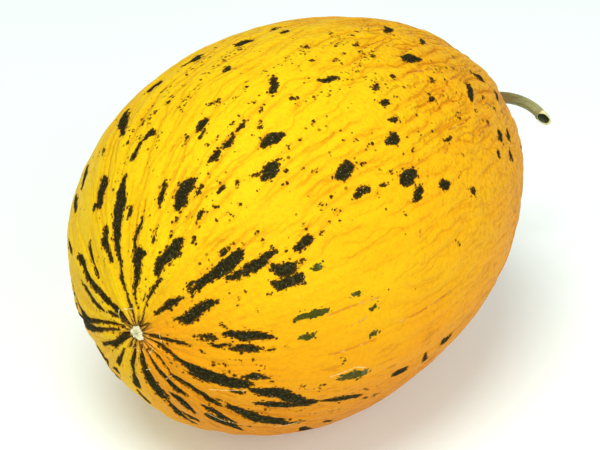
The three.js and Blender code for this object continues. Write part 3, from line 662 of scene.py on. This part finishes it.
class Dye:
    """One value of a material. Arithmetic on it adds Math nodes, and node() adds any other node."""

    def __init__(self, tree, socket):
        self.tree = tree
        self.socket = socket

    def node(self, kind, settings, sockets, output=0):
        made = self.tree.nodes.new(kind)
        for name, value in settings.items():
            setattr(made, name, value)
        for name, value in sockets.items():
            if isinstance(value, Dye):
                self.tree.links.new(value.socket, made.inputs[name])
            else:
                made.inputs[name].default_value = value
        return Dye(self.tree, made.outputs[output])

    def twin(self, output):
        """Another output of the node that this value comes from."""
        return Dye(self.tree, self.socket.node.outputs[output])

    def math(self, operation, first, second=0.0):
        return self.node("ShaderNodeMath", {"operation": operation}, {0: first, 1: second})

    def __add__(self, other):
        return self.math("ADD", self, other)

    def __radd__(self, other):
        return self.math("ADD", other, self)

    def __sub__(self, other):
        return self.math("SUBTRACT", self, other)

    def __rsub__(self, other):
        return self.math("SUBTRACT", other, self)

    def __mul__(self, other):
        return self.math("MULTIPLY", self, other)

    def __rmul__(self, other):
        return self.math("MULTIPLY", other, self)

    def __abs__(self):
        return self.math("ABSOLUTE", self)

    def least(self, other):
        return self.math("MINIMUM", self, other)

    def most(self, other):
        return self.math("MAXIMUM", self, other)

    def step(self, low, high):
        """0 where the value is at low, 1 where it is at high, and either may be larger."""
        ends = {"Value": self, "From Min": low, "From Max": high}
        return self.node("ShaderNodeMapRange", {"interpolation_type": "SMOOTHSTEP"}, ends)

    def mix(self, start, end):
        """A colour between start and end, by this value."""
        start, end = (paint if isinstance(paint, Dye) else (*paint, 1) for paint in (start, end))
        return self.node("ShaderNodeMix", {"data_type": "RGBA"}, {0: self, 6: start, 7: end}, 2)

    def grain(self, waves_per_mm, detail=2.0, roughness=0.5):
        """Noise around 0 over this vector, whose waves are so many to the millimetre."""
        sockets = {"Vector": self, "Scale": waves_per_mm / MM, "Detail": detail, "Roughness": roughness}
        return self.node("ShaderNodeTexNoise", {}, sockets) - 0.5

    def scatter(self, cell):
        """How far the nearest of many scattered seeds is, in millimetres, and two draws of that seed."""
        sockets = {"Vector": self, "Scale": 1 / (cell * MM)}
        gap = self.node("ShaderNodeTexVoronoi", {"feature": "F1"}, sockets)
        draws = gap.node("ShaderNodeSeparateColor", {}, {"Color": gap.twin(1)})
        return gap * cell, draws, draws.twin(1)

    def bump(self, strength):
        """The relief that this height in millimetres gives the surface."""
        sockets = {"Height": self, "Distance": MM, "Strength": strength}
        self.node("ShaderNodeBump", {}, sockets).into("Normal")

    def dot(self, side):
        """How far this vector points to a side."""
        return self.node("ShaderNodeVectorMath", {"operation": "DOT_PRODUCT"}, {0: self, 1: side}, 1)

    def into(self, name):
        self.tree.links.new(self.socket, self.tree.nodes["Principled BSDF"].inputs[name])


def new_finish(name):
    """A new material, and the Object coordinates of the piece that wears it, as a Dye."""
    finish = bpy.data.materials.new(name)
    finish.use_nodes = True
    coordinates = finish.node_tree.nodes.new("ShaderNodeTexCoord")
    return finish, Dye(finish.node_tree, coordinates.outputs["Object"])


def stored(place, name, output=2):
    """The values that give_points stored under a name."""
    return place.node("ShaderNodeAttribute", {"attribute_name": name}, {}, output)


def srgb(*parts):
    """A colour told by its screen values, 0 to 255, as the shader wants it."""
    shares = [part / 255 for part in parts]
    return tuple(((share + 0.055) / 1.055) ** 2.4 if share > 0.04 else share / 12.92 for share in shares)


rind, place = new_finish("rind")
s = stored(place, "station")
rolled = stored(place, "rolled", 1)

# Ground colour of the rind: golden yellow on top and more orange towards both ends; the belly and the
# low side towards -Y are painted more orange and darker as painted shade
YELLOW = srgb(244, 206, 18)
GOLD = srgb(252, 191, 10)
ORANGE = srgb(240, 150, 20)
BELLY_SHADE = srgb(206, 130, 38)
TAN = srgb(208, 144, 24)
VALLEY_COLOUR_AND_SHADE = srgb(206, 124, 12)
CREASE_SHADE = srgb(178, 98, 22)
height_up = place.node("ShaderNodeSeparateXYZ", {}, {"Vector": place}, 2) * (1 / MM)
# Painted shade: the side low towards -Y
painted_shade_side = stored(place, "painted_shade_side")
drifts = place.grain(0.016, 2, 0.5)
streaks = rolled.grain(0.1, 2, 0.5)
mottle = place.grain(0.5, 3, 0.6)
stemward = s.step(110, 230)
# Painted shade low on the fruit, strongest on the side towards -Y, its edge shifted by random drift
belly_shade = (height_up + drifts * 90).step(112, 40) * (0.35 + painted_shade_side * 0.65)
# Deeper gold as painted shade low down and on the -Y side, and as the rind's own colour towards the stem
# and in random drifts and streaks
golden = drifts * 1.2 + streaks * 0.5 + belly_shade * 0.7 + painted_shade_side * 0.25 + stemward * 0.55
skin = golden.step(0, 1).mix(YELLOW, GOLD)
# More orange as painted shade low down and on the -Y side, and a little towards the stem and in random
# streaks
skin = (belly_shade * 0.45 + painted_shade_side * 0.31 + stemward * 0.08 + streaks * 0.15).most(0).mix(skin, ORANGE)
# More orange towards both ends, near the blossom end mostly on the -Y side as painted shade
toward_ends = s.step(70, 8) * (0.1 + painted_shade_side * 0.6) + s.step(205, 300) * 0.27
skin = (toward_ends + mottle * 0.8).most(0).mix(skin, ORANGE)
# Painted shade: low down, mostly on the -Y side, the rind is painted a darker, duller orange, broken by
# random mottle
low = height_up.step(80, 20) * (0.2 + painted_shade_side * 0.7)
skin = (low + mottle * 0.4).most(0).mix(skin, BELLY_SHADE)
tan_drift = (place.grain(0.045, 3, 0.6) + s.step(170, 290) * 0.16).step(0.08, 0.3)
skin = (tan_drift * (0.12 + stemward * 0.3)).mix(skin, TAN)

# Wrinkles: soft orange-brown lines along the bottoms of the valleys, partly the rind's own colour and
# partly painted shade of the creases; the wider hollows and the pits between pebbles are painted darker
# as shade
shake = place.grain(0.3, 3, 0.6) * 2.4
coarse_reach = stored(place, "coarse_reach")
line = abs(stored(place, "wrinkle") + shake)
lines = line.step(0.9, 0.1) * coarse_reach * place.grain(0.1, 2).step(-0.2, 0.1)
hollow_shade = line.step(2.8, 0.2) * coarse_reach
fine_line = abs(stored(place, "fine_wrinkle") + shake)
fine_lines = fine_line.step(0.8, 0.1) * stored(place, "fine_reach")
pebbles = place.grain(0.48, 3, 0.6)
belly_streaks = rolled.grain(0.26, 4, 0.7).step(0.03, 0.18) * height_up.step(96, 40)
# Painted shade: the wide hollows of the coarse wrinkles are painted more orange
skin = (hollow_shade * 0.3).mix(skin, ORANGE)
# Painted shade: the pits between the pebbles are painted darker orange, most towards the stem
skin = (pebbles.step(0.02, -0.16) * (0.12 + stemward * 0.45)).mix(skin, VALLEY_COLOUR_AND_SHADE)
# Painted shade: thin lengthwise streaks low on the fruit are painted dark brown, most on the -Y side
skin = (belly_streaks * (0.25 + painted_shade_side * 0.5)).mix(skin, CREASE_SHADE)
# Orange-brown lines in the valley bottoms: partly the rind's own colour, partly painted shade of the
# creases
skin = (lines * (0.5 + stemward * 0.2)).mix(skin, VALLEY_COLOUR_AND_SHADE)
skin = (fine_lines * (0.45 + stemward * 0.25)).mix(skin, VALLEY_COLOUR_AND_SHADE)
# Painted shade: lengthwise folds on the stem half are painted tan, and brown where they meet dark mottle
folds_and_shade = rolled.grain(0.26, 4, 0.65).step(0, 0.24) * s.step(125, 220)
skin = (folds_and_shade * 0.6).mix(skin, TAN)
skin = ((folds_and_shade + mottle * 2.0).step(0.5, 1.1) * 0.5).mix(skin, CREASE_SHADE)

# Blotches: near black green, solid inside, with jagged edges of small round knobs and loose ones near by
CLUSTER_APART = 6.5
KNOBS_APART = 1.9
DOTS_APART = 3.6
ragged = place.grain(0.42, 3, 0.62)
fingers = rolled.grain(0.6, 2, 0.6)
crumbly = place.grain(1.1, 2, 0.6)
wobble = (ragged * 2.6 + fingers * 2.2 + crumbly * 1.6) * (0.3 + s.step(4, 34) * 0.7)
blotch_gap = stored(place, "blotch") + 0.12 - s.step(30, 60) * 0.3
green_gap = stored(place, "green")
speckling = stored(place, "speckling")
cluster_gap, cluster_luck, _ = place.scatter(CLUSTER_APART)
cluster_gap = cluster_gap - (cluster_luck - 0.8 + speckling * 0.36) * 2.2
crumb_gap = stored(place, "crumbs") + 2.0 + ragged * 14.0
knob, knob_luck, knob_size = place.scatter(KNOBS_APART)
knob = knob - 0.3 - knob_size * 0.6 + crumbly * 1.3


def knobbed(gap, spread):
    """The edge of a blotch whose rim breaks up into knobs, in millimetres, less than 0 inside."""
    loose = (gap - knob_luck * knob_luck * spread).most(0)
    return (gap + wobble + 0.1).least(knob + loose * 2.0)


blotch_edge = knobbed(blotch_gap, 1.5)
green_edge = knobbed(green_gap, 1.8)
speck_gap = cluster_gap.least(crumb_gap)
speck_edge = knob + (speck_gap - knob_luck * 0.4).most(0) * 2.0
speck_edge = speck_edge.least(cluster_gap + 0.75 + wobble)
dot, dot_luck, dot_size = place.scatter(DOTS_APART)
dot_edge = dot - (dot_luck - 0.8 + speckling * 0.5) * 1.2 + crumbly * 0.6
BLACK_GREEN = srgb(38, 35, 15)
GREY_OLIVE = srgb(70, 67, 38)
BROWN_EDGE = srgb(92, 61, 8)
PAINTED_GLINT = srgb(190, 178, 130)
MID_GREEN = srgb(52, 64, 16)
GREY_GREEN = srgb(98, 104, 66)
SPECK = srgb(110, 71, 8)
RIM = srgb(176, 112, 16)
dark = blotch_edge.step(0.14, -0.1)
greenish = green_edge.step(0.2, -0.2)
specks = speck_edge.step(0.12, -0.1)
dots = dot_edge.step(0.1, -0.2) * (0.6 + dot_size * 0.35)
ink = place.grain(0.9, 2, 0.6).step(-0.04, 0.24).mix(BLACK_GREEN, GREY_OLIVE)
ink = blotch_edge.step(-0.85, 0).mix(ink, BROWN_EDGE)
# Painted highlights: small pale glints inside the dark blotches
ink = (place.grain(1.4, 1, 0.5).step(0.2, 0.27) * 0.7).mix(ink, PAINTED_GLINT)
skin = dots.mix(skin, SPECK)
skin = (speck_edge.step(0.5, 0) * 0.3).mix(skin, RIM)
skin = (specks * 0.95).mix(skin, SPECK)
green_ink = (crumbly * 4.0 + place.grain(0.3, 1) * 3.0).step(0.1, 0.8).mix(MID_GREEN, GREY_GREEN)
skin = (greenish * (0.97 + crumbly * 0.4)).mix(skin, green_ink)
skin = (blotch_edge.step(0.7, 0) * 0.4).mix(skin, RIM)
skin = dark.mix(skin, ink)

# Cracks: thin corky lines, cream along the middle and reddish at the sides
CRACK_CREAM = srgb(250, 222, 150)
CRACK_RED = srgb(182, 84, 26)
crack_side = abs(stored(place, "crack_side") + crumbly)
crack_near = stored(place, "crack_gap").step(1.8, 0.9) * place.grain(0.5, 2).step(-0.16, -0.02)
crack_red = stored(place, "crack_red")
crack_redness = crack_side.step(0.85, 0.2) * crack_near * crack_red
skin = (crack_redness * (0.4 + s.step(110, 135) * 0.25)).mix(skin, CRACK_RED)
patchy = place.grain(0.45, 2).step(0.12, 0)
crack_pale = crack_side.step(0.36, 0.14) * crack_near * (1 - crack_red * patchy)
skin = (crack_pale * (0.7 - crack_red * 0.3)).mix(skin, CRACK_CREAM)

# Blossom end: grey-brown pleats drawn in round a cream cork scar
PLEAT = srgb(84, 66, 30)
PLEAT_RIDGE = srgb(226, 168, 72)
CORK = srgb(255, 248, 206)
CORK_SHADE = srgb(206, 176, 110)
pleats = (stored(place, "creases") + place.grain(0.9, 2) * 1.6).step(-0.1, -0.9)
near_scar = (s + place.grain(0.5, 2) * 5.0).step(12, 4)
skin = (near_scar * (0.55 - dark * 0.5)).mix(skin, PLEAT_RIDGE)
skin = (s.step(6, 3.5) * 0.5).mix(skin, PLEAT)
skin = (near_scar * pleats * 0.9).mix(skin, PLEAT)
cork = place.grain(0.8, 3, 0.7).step(0.06, 0.26).mix(CORK, CORK_SHADE)
cork_edge = (stored(place, "on_scar") + place.grain(0.9, 2) * 0.6).step(0.12, 0.4)
skin = cork_edge.mix(skin, cork)
skin.into("Base Color")

# Gloss and fine relief
RIND_ROUGHNESS = 0.42
RIND_BUMP = 0.9
RIND_IOR = 1.2
RIND_SPECULAR = 0.12
pores = place.grain(1.3, 2, 0.55)
gloss = RIND_ROUGHNESS + mottle * 0.25 + cork_edge * 0.4 + lines * 0.1 + dark * 0.35
gloss.into("Roughness")
height = pebbles * (0.8 + stemward * 0.8) + pores * 0.2
height = height - lines * 0.3 - hollow_shade * 0.15 - fine_lines * 0.2 - folds_and_shade * 0.3
height = height + dark * (0.1 + crumbly * 0.5) + cork_edge * crumbly * 0.9 - near_scar * pleats * 0.3
height.bump(RIND_BUMP)
shader = rind.node_tree.nodes["Principled BSDF"]
shader.inputs["IOR"].default_value = RIND_IOR
shader.inputs["Specular IOR Level"].default_value = RIND_SPECULAR

fruit.data.materials.append(rind)
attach(fruit, "root")
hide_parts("fruit")

# Stem
# The short stalk that the melon hung from, cut off clean. It is a green, ribbed, woody tube that grows
# out of a flared foot on the rind, hooks to one side and ends in a pale collar round a hollow cut.
STEM_LENGTH = 56.6
STEM_HOOK = math.radians(120)
STEM_HOOK_POWER = 2.45
STEM_DROOP = math.radians(25)
STEM_FOOT_RADIUS = 5.6
STEM_RADIUS_IN = 2.95
STEM_RADIUS_OUT = 2.5
STEM_COLLAR_RADIUS = 2.95
STEM_FLARE_RATE = 22
STEM_RIBS = 5
RIB_SHARE = 0.075
RIB_TWIST = 1.1
FINE_RIBS = 15
FINE_RIB_SHARE = 0.02
FINE_RIB_TWIST = 5
KNOT_SHARE = 0.02
STEM_ROUND = 64
STEM_STEPS = 150
CUT_SLANT = math.radians(42)
CUT_FACES = np.array([-0.97, -0.224, 0.038])
# The rings of the lip and of the hollow, each as its share of the collar's radius and how deep it lies
CUT_RINGS = [
    (0.97, -0.1), (0.88, -0.14), (0.79, -0.04), (0.73, 0.6), (0.67, 1.4), (0.45, 2.1), (0.2, 2.2),
]
FOOT_RAISE = 0.8
foot = np.array([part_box("stem")[0].x / MM, 0, AXIS_HEIGHT + FOOT_RAISE])
sideways = np.array([0, -math.cos(STEM_DROOP), -math.sin(STEM_DROOP)])
forward = np.array([1.0, 0, 0])
across = np.cross(forward, sideways)


def stem_heading(share):
    """Which way the stalk runs, at these shares of its length."""
    bend = STEM_HOOK * share[:, None] ** STEM_HOOK_POWER
    return forward * np.cos(bend) + sideways * np.sin(bend)


stem_steps = stem_heading((np.arange(STEM_STEPS) + 0.5) / STEM_STEPS) * STEM_LENGTH / STEM_STEPS
stem_line = foot + np.concatenate([np.zeros((1, 3)), np.cumsum(stem_steps, axis=0)])

ring_share = np.linspace(0, 1, STEM_STEPS + 1)
ring_radius = STEM_RADIUS_IN + (STEM_RADIUS_OUT - STEM_RADIUS_IN) * smooth(0.2, 0.85, ring_share)
ring_radius += (STEM_FOOT_RADIUS - STEM_RADIUS_IN) * np.exp(-ring_share * STEM_FLARE_RATE)
collar = smooth(0.93, 0.97, ring_share) * (1 - 0.5 * smooth(0.985, 1, ring_share))
ring_radius += (STEM_COLLAR_RADIUS - STEM_RADIUS_OUT) * collar
cut_radius, cut_depth = np.array(CUT_RINGS).T
ring_share = np.concatenate([ring_share, np.ones(len(CUT_RINGS))])
ring_radius = np.concatenate([ring_radius, cut_radius * STEM_COLLAR_RADIUS])
ring_depth = np.concatenate([np.zeros(STEM_STEPS + 1), cut_depth])

stem, along_sheet, round_sheet = new_sheet("melon_stem", len(ring_share) - 1, STEM_ROUND)
ring = np.rint(along_sheet * (len(ring_share) - 1)).astype(int)
share, depth = ring_share[ring], ring_depth[ring]
angle = round_sheet * 2 * math.pi
heading = stem_heading(share)
slant = CUT_FACES - heading * (heading @ CUT_FACES)[:, None]
slant *= (math.tan(CUT_SLANT) * smooth(0.86, 1, share) / np.linalg.norm(slant, axis=1))[:, None]
rib = RIB_SHARE * np.cos(STEM_RIBS * angle + RIB_TWIST * share)
rib += FINE_RIB_SHARE * np.cos(FINE_RIBS * angle + FINE_RIB_TWIST * share)
knot_places = np.stack([np.cos(angle) * 1.5, np.sin(angle) * 1.5, share * 14], axis=-1)
rib += KNOT_SHARE * np.array([noise.noise(Vector(knot_place)) for knot_place in knot_places])
radius = ring_radius[ring] * (1 + rib * (1 - 0.75 * smooth(0.92, 1, share)))
spoke = np.cross(across, heading) * np.cos(angle)[:, None] + across * np.sin(angle)[:, None]
spread = spoke * radius[:, None]
stem_points = stem_line[np.rint(share * STEM_STEPS).astype(int)] - heading * depth[:, None] + spread
stem_points -= heading * (spread * slant).sum(axis=1)[:, None]
give_points(stem, "along", share * STEM_LENGTH)
give_points(stem, "inside", np.where(depth == 0, 0, depth + 0.3))
round_places = [np.cos(angle), np.sin(angle), share * STEM_LENGTH / 12]
give_points(stem, "round", np.stack(round_places, axis=-1), "FLOAT_VECTOR")
roll_up(stem, stem_points)

stalk, place = new_finish("stalk")
along = stored(place, "along")
ringed = stored(place, "round", 1)
OLIVE = srgb(134, 132, 66)
OLIVE_LIGHT = srgb(168, 168, 106)
OLIVE_DARK = srgb(92, 86, 30)
FOOT_BROWN = srgb(112, 82, 26)
COLLAR_CREAM = srgb(228, 226, 164)
HOLLOW_CUT_SHADE = srgb(36, 52, 10)
STEM_BUMP = 0.8
STRIPE_SIDE = (0.72, -0.69, 0)
PAINTED_LIGHT_SIDE = (-0.72, -0.69, 0)
fibres = ringed.node("ShaderNodeTexNoise", {}, {"Vector": ringed, "Scale": 3.2, "Detail": 3.0}) - 0.5
green_skin = (fibres * 4.5 + 0.5).step(0.1, 0.9).mix(OLIVE_DARK, OLIVE_LIGHT)
green_skin = (0.35 + place.grain(0.2, 2) * 1.2).mix(green_skin, OLIVE)
striped = (ringed.dot(STRIPE_SIDE) + fibres * 0.5).step(0.5, 0.95)
green_skin = (striped * 0.65).mix(green_skin, OLIVE_DARK)
# Painted light: the upper side of the stalk is painted lighter
green_skin = (ringed.dot(PAINTED_LIGHT_SIDE).step(0.3, 0.95) * 0.6).mix(green_skin, OLIVE_LIGHT)
green_skin = ((along + fibres * 12.0).step(43, 30) * 0.8).mix(green_skin, FOOT_BROWN)
green_skin = (along.step(36, 54) * 0.6).mix(green_skin, OLIVE_LIGHT)
outward = ringed.node("ShaderNodeSeparateXYZ", {}, {"Vector": ringed}, 0)
pale_end = along - outward * 3.0 + place.grain(0.6, 2) * 2.0
green_skin = pale_end.step(53.8, 55).mix(green_skin, COLLAR_CREAM)
# Painted shade: the hollow inside the cut is painted near-black green
green_skin = stored(place, "inside").step(0.25, 0.6).mix(green_skin, HOLLOW_CUT_SHADE)
green_skin.into("Base Color")
(0.5 + fibres * 0.3).into("Roughness")
(fibres * 0.5 + place.grain(1.2, 2) * 0.25).bump(STEM_BUMP)
stem.data.materials.append(stalk)
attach(stem, "root")
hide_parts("stem")

# Floor
# A plain white light table that the melon lies on, wide enough to fill every view. It glows a little, as
# such tables do, so that shadows stay pale.
FLOOR_SIZE = 12
FLOOR_GLOW = 0.17
FLOOR_ROUGHNESS = 0.9
WHITE = srgb(237, 250, 244)
OFF_WHITE = srgb(235, 248, 242)
bpy.ops.mesh.primitive_plane_add(size=FLOOR_SIZE)
floor = bpy.context.object
floor.name = "floor"
paper, place = new_finish("paper")
place.grain(0.004, 2).step(-0.3, 0.3).mix(OFF_WHITE, WHITE).into("Base Color")
shader = paper.node_tree.nodes["Principled BSDF"]
shader.inputs["Roughness"].default_value = FLOOR_ROUGHNESS
shader.inputs["Specular IOR Level"].default_value = 0.0
shader.inputs["Emission Color"].default_value = (1, 1, 0.98, 1)
shader.inputs["Emission Strength"].default_value = FLOOR_GLOW
floor.data.materials.append(paper)

# Light
# A big soft window overhead, a softer one behind the camera, and a bright room all round.
ROOM_LIGHT = 0.38
world = bpy.data.worlds.new("room")
bpy.context.scene.world = world
world.use_nodes = True
room = world.node_tree.nodes["Background"]
room.inputs["Color"].default_value = (1, 1, 1, 1)
room.inputs["Strength"].default_value = ROOM_LIGHT

TARGET = Vector((WIDEST_FROM_MIDDLE, 0, AXIS_HEIGHT)) * MM
RIGHT = Vector((0.6145, -0.789, 0))
TOWARDS = Vector(SEEN_FROM)


def soft_light(name, direction, distance, size, power):
    lamp = bpy.data.lights.new(name, "AREA")
    lamp.shape = "DISK"
    lamp.size = size
    lamp.energy = power
    holder = bpy.data.objects.new(name, lamp)
    bpy.context.scene.collection.objects.link(holder)
    holder.location = TARGET + direction.normalized() * distance
    holder.rotation_euler = direction.to_track_quat("Z", "Y").to_euler()


UP = Vector((0, 0, 1))
soft_light("window", UP + TOWARDS * 0.5 - RIGHT * 0.2, distance=1.5, size=0.9, power=16)
soft_light("front", TOWARDS + RIGHT * 0.6 + UP * 0.1, distance=2.2, size=1.6, power=17)

# Camera
# The photograph's own view: from the blossom end and the left, looking down on the melon.
LENS = 125
SENSOR_WIDTH = 36
CAMERA_DISTANCE = 0.9
SHIFT_LEFT = 0.0172
SHIFT_DOWN = 0.0223
camera_data = bpy.data.cameras.new("camera")
camera_data.lens = LENS
camera_data.sensor_width = SENSOR_WIDTH
camera = bpy.data.objects.new("camera", camera_data)
bpy.context.scene.collection.objects.link(camera)
camera_data.shift_x = -SHIFT_LEFT
camera_data.shift_y = -SHIFT_DOWN
camera.location = TARGET + TOWARDS * CAMERA_DISTANCE
camera.rotation_euler = TOWARDS.to_track_quat("Z", "Y").to_euler()
bpy.context.scene.camera = camera
bpy.context.scene.view_settings.view_transform = "Standard"
